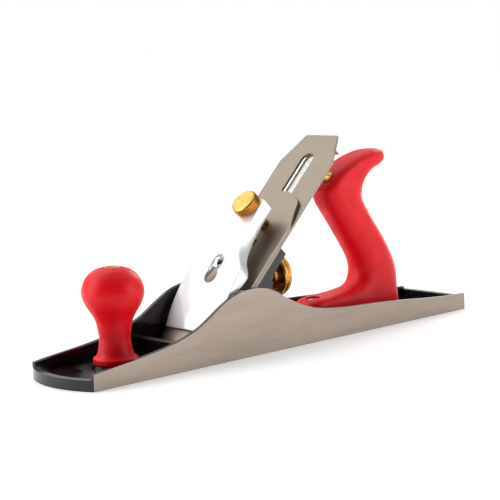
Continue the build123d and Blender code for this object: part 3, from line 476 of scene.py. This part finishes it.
# ---- tote rod, nut and toe screw ---------------------------------------------------------
# The long steel rod down through the handle, its slotted brass nut, and the short slotted
# steel screw that holds the handle's foot from turning.
nut_foot = tote_nut_top - rod_up * 1.0 * MM
BARREL = 15
handle_nut = slotted_head(radius=4.75, thickness=3.2, crown=0.35, foot=nut_foot, axis=rod_up,
                          slot_width=1.3, slot_depth=1.5, slot_along=(0, 1, 0.1))
handle_barrel = turned([(0, 0), (3.7, 0), (3.9, 0.2), (3.9, BARREL), (0, BARREL)],
                       nut_foot - rod_up * BARREL * MM, rod_up)
fit_piece("tote_nut_brass", [handle_nut, handle_barrel], brass, "plane_body", "brass", "tote_nut")
ROD_REACH = 105.3 / cos(LEAN)
handle_rod = threaded(radius=2.9, depth=0.35, pitch=1.2,
                      start=tote_nut_top - rod_up * (ROD_REACH - 0.6) * MM,
                      end=tote_nut_top - rod_up * 2.2 * MM, axis=rod_up)
fit_piece("tote_rod_steel", [handle_rod], plated, "plane_body", "bright_steel", "tote_rod")
toe_head = slotted_head(radius=4.6, thickness=1.9, crown=0.7,
                        foot=toe_axis + Vector((0, 0, toe_high.z - 2.7 * MM)), axis=(0, 0, 1),
                        slot_width=1.2, slot_depth=1.2, slot_along=(0.5, 1, 0))
toe_shank = threaded(radius=2.2, depth=0.3, pitch=1.1, start=toe_axis + Vector((0, 0, toe_low.z)),
                     end=toe_axis + Vector((0, 0, toe_high.z - 2.6 * MM)), axis=(0, 0, 1))
fit_piece("toe_screw_steel", [toe_head, toe_shank], plated, "plane_body", "bright_steel",
          "tote_toe_screw")

# ---- frog --------------------------------------------------------------------------------
# The iron's bed: a hollow iron casting that sits on the machined seat in the sole. It is
# enamelled like the sole, a little bluer and duller.
FROG_BLACK, FROG_GREY = (0.010, 0.010, 0.012), (0.018, 0.018, 0.022)
frog_enamel, tree, surface, place = new_finish("frog_enamel", FROG_GREY, 0.46)
pits = mottle(tree, place, 1.2 * MM, detail=4)
tree.links.new(shades(tree, pits, (0.3, FROG_BLACK), (0.7, FROG_GREY)), surface.inputs["Base Color"])
tree.links.new(levels(tree, pits, 0.3, 0.7, 0.32, 0.5), surface.inputs["Roughness"])
relief(tree, surface, pits, 0.05 * MM)
fit_eased("frog_casting", "frog", 0.4, frog_enamel, "frog", "black_paint")
for node, body in (("frog_clip", "frog"), ("frog_clip_screw", "frog"), ("frog_screws", "plane_body"),
                   ("frog_washers", "plane_body"), ("frog_adjusting_screw", "frog_adjusting_screw")):
    fit_eased(node + "_steel", node, 0.12, plated, body, "bright_steel")

# ---- depth adjustment --------------------------------------------------------------------
# A left-hand threaded stud in the frog carries the dished brass wheel; its groove works the
# forked yoke, which rocks on a pin and moves the iron. The wheel's two bands are knurled.


def knurl_tree():
    """Pointed studs in staggered rows round a drum, as a knurling tool raises them."""
    group = bpy.data.node_groups.new("knurl", "GeometryNodeTree")
    for name, kind in (("Radius", "NodeSocketFloat"), ("Height", "NodeSocketFloat"),
                       ("Around", "NodeSocketInt"), ("Rows", "NodeSocketInt"),
                       ("Stud Size", "NodeSocketVector"), ("Finish", "NodeSocketMaterial")):
        group.interface.new_socket(name, in_out="INPUT", socket_type=kind)
    group.interface.new_socket("Geometry", in_out="OUTPUT", socket_type="NodeSocketGeometry")
    nodes, links = group.nodes, group.links
    given = nodes.new("NodeGroupInput").outputs
    result = nodes.new("NodeGroupOutput")

    def sum_of(operation, first, second):
        node = nodes.new("ShaderNodeMath")
        node.operation = operation
        for socket, value in zip(node.inputs, (first, second)):
            if isinstance(value, (int, float)):
                socket.default_value = value
            else:
                links.new(value, socket)
        return node.outputs[0]

    number = nodes.new("GeometryNodeInputIndex").outputs[0]
    row = sum_of("FLOOR", sum_of("DIVIDE", sum_of("ADD", number, 0.5), given["Around"]), 0)
    stagger = sum_of("MULTIPLY", sum_of("MODULO", row, 2), 0.5)
    turn = sum_of("MULTIPLY", sum_of("DIVIDE", sum_of("ADD", number, stagger), given["Around"]), 2 * pi)
    level = sum_of("MULTIPLY", sum_of("DIVIDE", sum_of("ADD", row, 0.5), given["Rows"]), given["Height"])
    spot = nodes.new("ShaderNodeCombineXYZ")
    links.new(sum_of("MULTIPLY", sum_of("COSINE", turn, 0), given["Radius"]), spot.inputs["X"])
    links.new(sum_of("MULTIPLY", sum_of("SINE", turn, 0), given["Radius"]), spot.inputs["Y"])
    links.new(level, spot.inputs["Z"])
    points = nodes.new("GeometryNodePoints")
    links.new(sum_of("MULTIPLY", given["Around"], given["Rows"]), points.inputs["Count"])
    links.new(spot.outputs[0], points.inputs["Position"])
    stud = nodes.new("GeometryNodeMeshCone")
    stud.fill_type = "NGON"
    stud.inputs["Vertices"].default_value = 4
    stud.inputs["Radius Top"].default_value = 0.12
    stud.inputs["Radius Bottom"].default_value = 1.0
    stud.inputs["Depth"].default_value = 1.0
    tip = nodes.new("GeometryNodeTransform")
    tip.inputs["Rotation"].default_value = (0, pi / 2, 0)
    links.new(stud.outputs["Mesh"], tip.inputs["Geometry"])
    facing = nodes.new("ShaderNodeCombineXYZ")
    links.new(turn, facing.inputs["Z"])
    placed = nodes.new("GeometryNodeInstanceOnPoints")
    links.new(points.outputs[0], placed.inputs["Points"])
    links.new(tip.outputs[0], placed.inputs["Instance"])
    links.new(facing.outputs[0], placed.inputs["Rotation"])
    links.new(given["Stud Size"], placed.inputs["Scale"])
    real = nodes.new("GeometryNodeRealizeInstances")
    links.new(placed.outputs[0], real.inputs[0])
    finished = nodes.new("GeometryNodeSetMaterial")
    links.new(real.outputs[0], finished.inputs["Geometry"])
    links.new(given["Finish"], finished.inputs["Material"])
    links.new(finished.outputs[0], result.inputs["Geometry"])
    return group


def knurled(radius, height, around, rows, stud, finish, foot, axis):
    """The studs of one knurled band, in place; radius, height and stud are in mm."""
    group = bpy.data.node_groups.get("knurl") or knurl_tree()
    band = bpy.data.objects.new("band", bpy.data.meshes.new("band"))
    bpy.context.scene.collection.objects.link(band)
    modifier = band.modifiers.new("knurl", "NODES")
    modifier.node_group = group
    values = {"Radius": radius * MM, "Height": height * MM, "Around": around, "Rows": rows,
              "Stud Size": [size * MM for size in stud], "Finish": finish}
    for item in group.interface.items_tree:
        if item.name in values:
            modifier[item.identifier] = values[item.name]
    mesh = settled(band)
    mesh.transform(Matrix.Translation(foot) @ Vector(axis).to_track_quat("Z", "Y").to_matrix().to_4x4())
    return mesh


wheel_low, wheel_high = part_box("depth_wheel")
wheel_axis = Vector((0, 0, (wheel_low.z + wheel_high.z) / 2))
WHEEL_R = (wheel_high.z - wheel_low.z) / 2 / MM
HUB_START, WHEEL_BACK = wheel_low.x / MM, wheel_high.x / MM
BAND_R = WHEEL_R - 0.3
GROOVE_START, GROOVE_END = HUB_START + 1.8, HUB_START + 7.2
RIM_START = HUB_START + 11.0
FIRST_BAND, SECOND_BAND = RIM_START + 0.6, RIM_START + 3.9
wheel_outline = [(4.05, HUB_START), (8.2, HUB_START), (8.5, HUB_START + 0.3), (8.5, GROOVE_START - 0.2),
                 (8.3, GROOVE_START), (5.0, GROOVE_START), (5.0, GROOVE_END), (7.9, GROOVE_END),
                 (8.2, GROOVE_END + 0.3), (8.6, RIM_START), (9.4, RIM_START + 2.2),
                 (12.6, RIM_START + 1.9), (13.4, RIM_START), (14.2, RIM_START),
                 (BAND_R, FIRST_BAND - 0.1), (BAND_R, FIRST_BAND + 2.0), (BAND_R - 0.7, FIRST_BAND + 2.3),
                 (BAND_R - 0.7, SECOND_BAND - 0.4), (BAND_R, SECOND_BAND - 0.1),
                 (BAND_R, SECOND_BAND + 2.2), (14.3, WHEEL_BACK), (11.5, WHEEL_BACK),
                 (9.0, WHEEL_BACK - 1.2), (6.5, WHEEL_BACK), (4.05, WHEEL_BACK)]
wheel_meshes = [turned(wheel_outline + [wheel_outline[0]], wheel_axis, (1, 0, 0), around=96)]
for start in (FIRST_BAND, SECOND_BAND):
    wheel_meshes.append(knurled(radius=BAND_R - 0.05, height=2.0, around=110, rows=1,
                                stud=(0.4, 0.42, 1.0), finish=brass,
                                foot=wheel_axis + Vector((start * MM, 0, 0)), axis=(1, 0, 0)))
fit_piece("depth_wheel_brass", wheel_meshes, brass, "depth_wheel", "brass", "depth_wheel")
dress("wheel_thread_sleeve", brass)
stud_low, stud_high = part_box("adjusting_stud")
left_hand_stud = threaded(radius=2.7, depth=0.3, pitch=0.9, start=wheel_axis + Vector((stud_low.x, 0, 0)),
                          end=wheel_axis + Vector((stud_high.x, 0, 0)), axis=(1, 0, 0), hand=-1)
fit_piece("left_hand_stud", [left_hand_stud], plated, "frog", "bright_steel", "adjusting_stud")
fit_eased("yoke_casting", "adjusting_yoke", 0.15, plated, "yoke", "bright_steel")
dress("yoke_pin", plated)

# ---- lateral adjustment ------------------------------------------------------------------
# A long pressed-steel lever lies in the frog's face, riveted so that it can swing. The
# roller on its short arm works in the iron's slot, and its end is turned down as a tab.
fit_eased("lateral_lever_steel", "lateral_lever", 0.15, plated, "lateral_lever", "bright_steel")
dress("lateral_rivet", plated)
fit_eased("lateral_roller_steel", "lateral_roller", 0.12, plated, "lateral_roller", "bright_steel")

# ---- plane iron and cap iron -------------------------------------------------------------
# The iron is tool steel, surface-ground along its length, slotted, with a honed bevel. The
# cap iron is bent up from a thinner plate and screwed to it near the edge.
BED = (0, -pi / 4, 0)
BED_FOOT = -81.95
HALF_ROOT = sqrt(0.5)
bed_along = Vector((HALF_ROOT, 0, HALF_ROOT))
bed_up = Vector((-HALF_ROOT, 0, HALF_ROOT))


def on_bed(along, above, across=0.0):
    """A place given in mm along the bed, above the iron's upper face, and across."""
    return (Vector((BED_FOOT, across, 0)) + bed_along * along + bed_up * above) * MM


TOOL_STEEL = (0.31, 0.262, 0.208)
TOOL_STEEL_DARK = (0.25, 0.210, 0.168)
tool_steel, tree, surface, place = new_finish("ground_tool_steel", TOOL_STEEL, 0.4, 1.0)
scratches = mottle(tree, place, 0.3 * MM, drawn_out=(30, 1, 1), turn=BED, detail=3)
patches = mottle(tree, place, 12 * MM, detail=2)
tree.links.new(shades(tree, reckon(tree, "ADD", reckon(tree, "MULTIPLY", scratches, 0.7),
                                   reckon(tree, "MULTIPLY", patches, 0.3)),
                      (0.3, TOOL_STEEL_DARK), (0.7, TOOL_STEEL)), surface.inputs["Base Color"])
tree.links.new(levels(tree, scratches, 0.3, 0.7, 0.34, 0.46), surface.inputs["Roughness"])
relief(tree, surface, scratches, 0.012 * MM)
fit_eased("plane_iron_blade", "plane_iron", 0.12, tool_steel, "cutter", "tool_steel", flat_faces=True)
fit_eased("cap_iron_plate", "cap_iron", 0.2, tool_steel, "cutter", "tool_steel", flat_faces=True)
fit_eased("cap_iron_screw_steel", "cap_iron_screw", 0.15, plated, "cutter", "bright_steel")

# ---- lever cap ---------------------------------------------------------------------------
# Cast iron, polished and chromium plated. It hooks under its screw by a keyhole and bears
# on the cap iron's hump; the flanges along its sides stiffen it.
# Painted reflection: the near-white base with little metal stands in for the bright room reflected in the
# chrome, so the plate reads white instead of mirroring the dark cheeks; the film noise varies that white
# at random.
CHROME_REFLECTION_WHITE, FILMED_REFLECTION_WHITE = (0.95, 0.95, 0.95), (0.88, 0.88, 0.89)
chrome, tree, surface, place = new_finish("chromium_plate_painted_reflection", CHROME_REFLECTION_WHITE, 0.16, 0.25)
film = mottle(tree, place, 8 * MM, detail=3)
tree.links.new(shades(tree, film, (0.3, FILMED_REFLECTION_WHITE), (0.7, CHROME_REFLECTION_WHITE)), surface.inputs["Base Color"])
tree.links.new(levels(tree, film, 0.3, 0.7, 0.2, 0.12), surface.inputs["Roughness"])
CAP_FOOT, CAP_TOP = 19.0, 120.2
FLANGE, CAP_SKIN, SOFT_EDGE = 3.2, 3.2, 0.45
HOOK_END, TOP_WALL, HOLLOW_SLOPE = 48.0, 3.0, 2.0
crown = [(CAP_FOOT, 7.0), (30, 11.3), (44, 14.6), (64, 17.6), (90, 19.4), (CAP_TOP, 21.0)]
soffit = [(CAP_FOOT, 5.9), (32, 8.0), (46, 10.7), (49, 11.0), (58, 9.0), (72, 8.9), (96, 10.2),
          (CAP_TOP, 10.6)]
SHOULDER, SHOULDER_END = 63.2, 64.4
half_width = [(CAP_FOOT, 25.0), (SHOULDER, 25.0), (SHOULDER_END, 24.6), (68, 22.2), (73.5, 17.4),
              (80, 13.9), (88, 12.1), (98, 10.9), (109, 10.1), (CAP_TOP, 9.8)]


def height_at(line, along):
    """The value of a line of (along, value) points at a station, straight between points."""
    for (start, low), (end, high) in zip(line, line[1:]):
        if along <= end:
            return low + (high - low) * max(along - start, 0) / (end - start)
    return line[-1][1]


def cap_ring(along):
    """One section across the lever cap: rounded top edges, flanges and the hollow between."""
    top, low, wide = (height_at(line, along) for line in (crown_line, soffit_line, width_line))
    hollow = low + 0.02
    if HOOK_END < along <= CAP_TOP - TOP_WALL:
        hollow = max(hollow, min(top - CAP_SKIN, low + (along - HOOK_END) * HOLLOW_SLOPE))
    inner = wide - FLANGE
    half = [(wide, low), (wide, top - SOFT_EDGE), (wide - 0.3 * SOFT_EDGE, top - 0.3 * SOFT_EDGE),
            (wide - SOFT_EDGE, top)]
    half_under = [(inner, hollow), (inner, low)]
    left = [(-across, above) for across, above in half]
    left_under = [(-across, above) for across, above in half_under]
    outline = half + left[::-1] + left_under[::-1] + half_under
    return [on_bed(along, above, across) for across, above in outline]


crown_line, soffit_line = smooth_line(crown), smooth_line(soffit)
width_line = half_width[:2] + smooth_line(half_width[2:])
stations = {round(CAP_FOOT + i * (CAP_TOP - CAP_FOOT) / 90, 3) for i in range(91)}
stations |= {HOOK_END, SHOULDER, SHOULDER_END}
cap_shell = skinned([cap_ring(along) for along in sorted(stations)])
KEYHOLE_EYE, CAP_SCREW_ALONG, HEAD_SEAT = 57.0, 68.4, 17.05
NECK_R, EYE_R, SEAT_R, THUMB_BORE_R = 3.4, 5.6, 5.3, 3.1
CUT_TOP, THUMB_ALONG = 26, 113.0


def slot_tool(start, end, radius, low, high):
    """A round-ended cutter along the bed between two stations."""
    ring = [(end + radius * cos(a), radius * sin(a)) for a in (pi * i / 16 - pi / 2 for i in range(17))]
    ring += [(start + radius * cos(a), radius * sin(a)) for a in (pi * i / 16 + pi / 2 for i in range(17))]
    return skinned([[on_bed(along, above, across) for along, across in ring] for above in (low, high)])


cap_shell = cut(cap_shell, slot_tool(KEYHOLE_EYE, CAP_SCREW_ALONG, NECK_R, 0, CUT_TOP),
                slot_tool(KEYHOLE_EYE + 0.1, KEYHOLE_EYE + 0.2, EYE_R, 0, CUT_TOP),
                slot_tool(CAP_SCREW_ALONG - 5.9, CAP_SCREW_ALONG + 0.2, SEAT_R, HEAD_SEAT - 0.1, CUT_TOP),
                turned([(0, 0), (THUMB_BORE_R, 0), (THUMB_BORE_R, 30), (0, 30)], on_bed(THUMB_ALONG, 0),
                       bed_up))
fit_piece("lever_cap_chromed", [cap_shell], chrome, "lever_cap", "chrome", "lever_cap", smooth=38)
cap_screw_head = slotted_head(radius=4.85, thickness=0.9, crown=2.2,
                              foot=on_bed(CAP_SCREW_ALONG, HEAD_SEAT), axis=bed_up,
                              slot_width=1.3, slot_depth=1.7, slot_along=(0.2, 1, 0.2))
cap_screw_shank = threaded(radius=3.0, depth=0.35, pitch=1.2, start=on_bed(CAP_SCREW_ALONG, -16),
                           end=on_bed(CAP_SCREW_ALONG, HEAD_SEAT + 0.2), axis=bed_up)
mirror_chrome = new_finish("mirror_chrome", (0.7, 0.7, 0.7), 0.1, 1.0)[0]
fit_piece("lever_cap_screw_chromed", [cap_screw_head, cap_screw_shank], mirror_chrome, "frog", "chrome",
          "lever_cap_screw")

# ---- thumbscrew --------------------------------------------------------------------------
# Solid brass with a domed top and a diamond-knurled side. Its threaded shank runs through
# the lever cap and presses a loose pad down on the cap iron.
THUMB_BASE, THUMB_SIDE, THUMB_TOP, HEAD_R = 21.4, 6.0, 7.1, 9.2
PAD_TOP = 3.6
dome = [(HEAD_R * 0.97 * cos(pi / 2 * i / 9), THUMB_SIDE + (THUMB_TOP - THUMB_SIDE) * sin(pi / 2 * i / 9))
        for i in range(9)]
thumb_head = turned([(0, -0.3), (5.4, -0.3), (5.6, 0), (8.8, 0), (HEAD_R, 0.4), (HEAD_R, THUMB_SIDE - 0.3)]
                    + dome + [(0, THUMB_TOP)], on_bed(THUMB_ALONG, THUMB_BASE), bed_up, around=96)
thumb_knurl = knurled(radius=HEAD_R - 0.06, height=THUMB_SIDE - 0.9, around=44, rows=8,
                      stud=(0.72, 0.66, 0.66), finish=brass, foot=on_bed(THUMB_ALONG, THUMB_BASE + 0.45),
                      axis=bed_up)
thumb_shank = threaded(radius=3.0, depth=0.35, pitch=1.0, start=on_bed(THUMB_ALONG, 5.0),
                       end=on_bed(THUMB_ALONG, THUMB_BASE), axis=bed_up)
thumb_tip = turned([(0, 0), (1.6, 0), (1.8, 0.2), (1.8, 1.6), (0, 1.6)], on_bed(THUMB_ALONG, PAD_TOP),
                   bed_up, around=40)
fit_piece("thumbscrew_brass", [thumb_head, thumb_knurl, thumb_shank, thumb_tip], brass, "thumbscrew",
          "brass", "thumbscrew")
dress("thumbscrew_pad", brass)

# ---- studio ------------------------------------------------------------------------------
# A white floor that runs out of sight and glows (painted light, faint next to the plane and stronger
# further out), four large soft boxes at the plane's toe, near side, heel and top, and a white room that is
# darker behind the camera.
AZIMUTH, ELEVATION, ROLL = radians(-43.324), radians(7.476), radians(-1.833)
TARGET = Vector((-16.633, 0, 65.062)) * MM
DISTANCE = 966.535 * MM
back = Vector((sin(AZIMUTH) * cos(ELEVATION), -cos(AZIMUTH) * cos(ELEVATION), sin(ELEVATION)))
level = Vector((cos(AZIMUTH), sin(AZIMUTH), 0))
upright = back.cross(level)
right = level * cos(ROLL) + upright * sin(ROLL)
up = upright * cos(ROLL) - level * sin(ROLL)
camera = bpy.data.objects.new("camera", bpy.data.cameras.new("camera"))
bpy.context.scene.collection.objects.link(camera)
camera_turn = Matrix((right, up, back)).transposed().to_4x4()
camera.matrix_world = Matrix.Translation(TARGET + back * DISTANCE) @ camera_turn
camera.data.sensor_width = 36
camera.data.lens = 101.82
camera.data.clip_start = 0.01
camera.data.clip_end = 50
bpy.context.scene.camera = camera

FLOOR_HALF = 20.0
floor_corners = [(x * FLOOR_HALF, y * FLOOR_HALF, 0) for x, y in ((-1, -1), (1, -1), (1, 1), (-1, 1))]
floor_mesh = bpy.data.meshes.new("floor")
floor_mesh.from_pydata(floor_corners, [], [(0, 1, 2, 3)])
floor = bpy.data.objects.new("floor", floor_mesh)
bpy.context.scene.collection.objects.link(floor)
glowing_paper, tree, surface, place = new_finish("white_glowing_floor", (0.9, 0.9, 0.9), 0.7)
surface.inputs["Emission Color"].default_value = (1, 1, 1, 1)
away = tree.nodes.new("ShaderNodeVectorMath")
away.operation = "LENGTH"
tree.links.new(place, away.inputs[0])
# Painted light: the floor glows, faintly near the plane so its soft shadow stays and more strongly further
# out so it reads pure white.
glow = levels(tree, away.outputs["Value"], 0.3, 1.2, 0.32, 0.8)
tree.links.new(glow, surface.inputs["Emission Strength"])
floor_mesh.materials.append(glowing_paper)


def soft_box(name, direction, distance, size, power):
    """An oblong soft light in that direction, aimed at the plane; metres and watts."""
    light = bpy.data.lights.new(name, "AREA")
    light.shape = "RECTANGLE"
    light.size, light.size_y = size
    light.energy = power
    box = bpy.data.objects.new(name, light)
    bpy.context.scene.collection.objects.link(box)
    away = Vector(direction).normalized()
    box.location = TARGET + away * distance
    box.rotation_euler = away.to_track_quat("Z", "Y").to_euler()


soft_box("toe_side_box", (-0.9, 0.65, 0.4), 1.3, (0.9, 1.2), 10)
soft_box("near_side_box", (0.5, -0.85, 0.2), 1.3, (0.7, 0.9), 5.6)
soft_box("heel_side_box", (1.0, 0.25, 0.3), 1.3, (0.7, 1.0), 8)
soft_box("top_box", (-0.15, 0.65, 0.75), 2.2, (2.2, 1.8), 14)

room = bpy.data.worlds.new("white_room")
bpy.context.scene.world = room
room.use_nodes = True
tree = room.node_tree
heading = tree.nodes.new("ShaderNodeTexCoord").outputs["Generated"]
toward = tree.nodes.new("ShaderNodeVectorMath")
toward.operation = "DOT_PRODUCT"
toward.inputs[1].default_value = Vector((back.x, back.y, 0)).normalized()
tree.links.new(heading, toward.inputs[0])
brightness = levels(tree, toward.outputs["Value"], -0.1, 0.65, 0.7, 0.02)
seen = tree.nodes.new("ShaderNodeLightPath").outputs["Is Camera Ray"]
tree.links.new(choose(tree, seen, brightness, 1.0), tree.nodes["Background"].inputs["Strength"])
tree.nodes["Background"].inputs["Color"].default_value = (1, 1, 1, 1)
bpy.context.scene.view_settings.view_transform = "Standard"
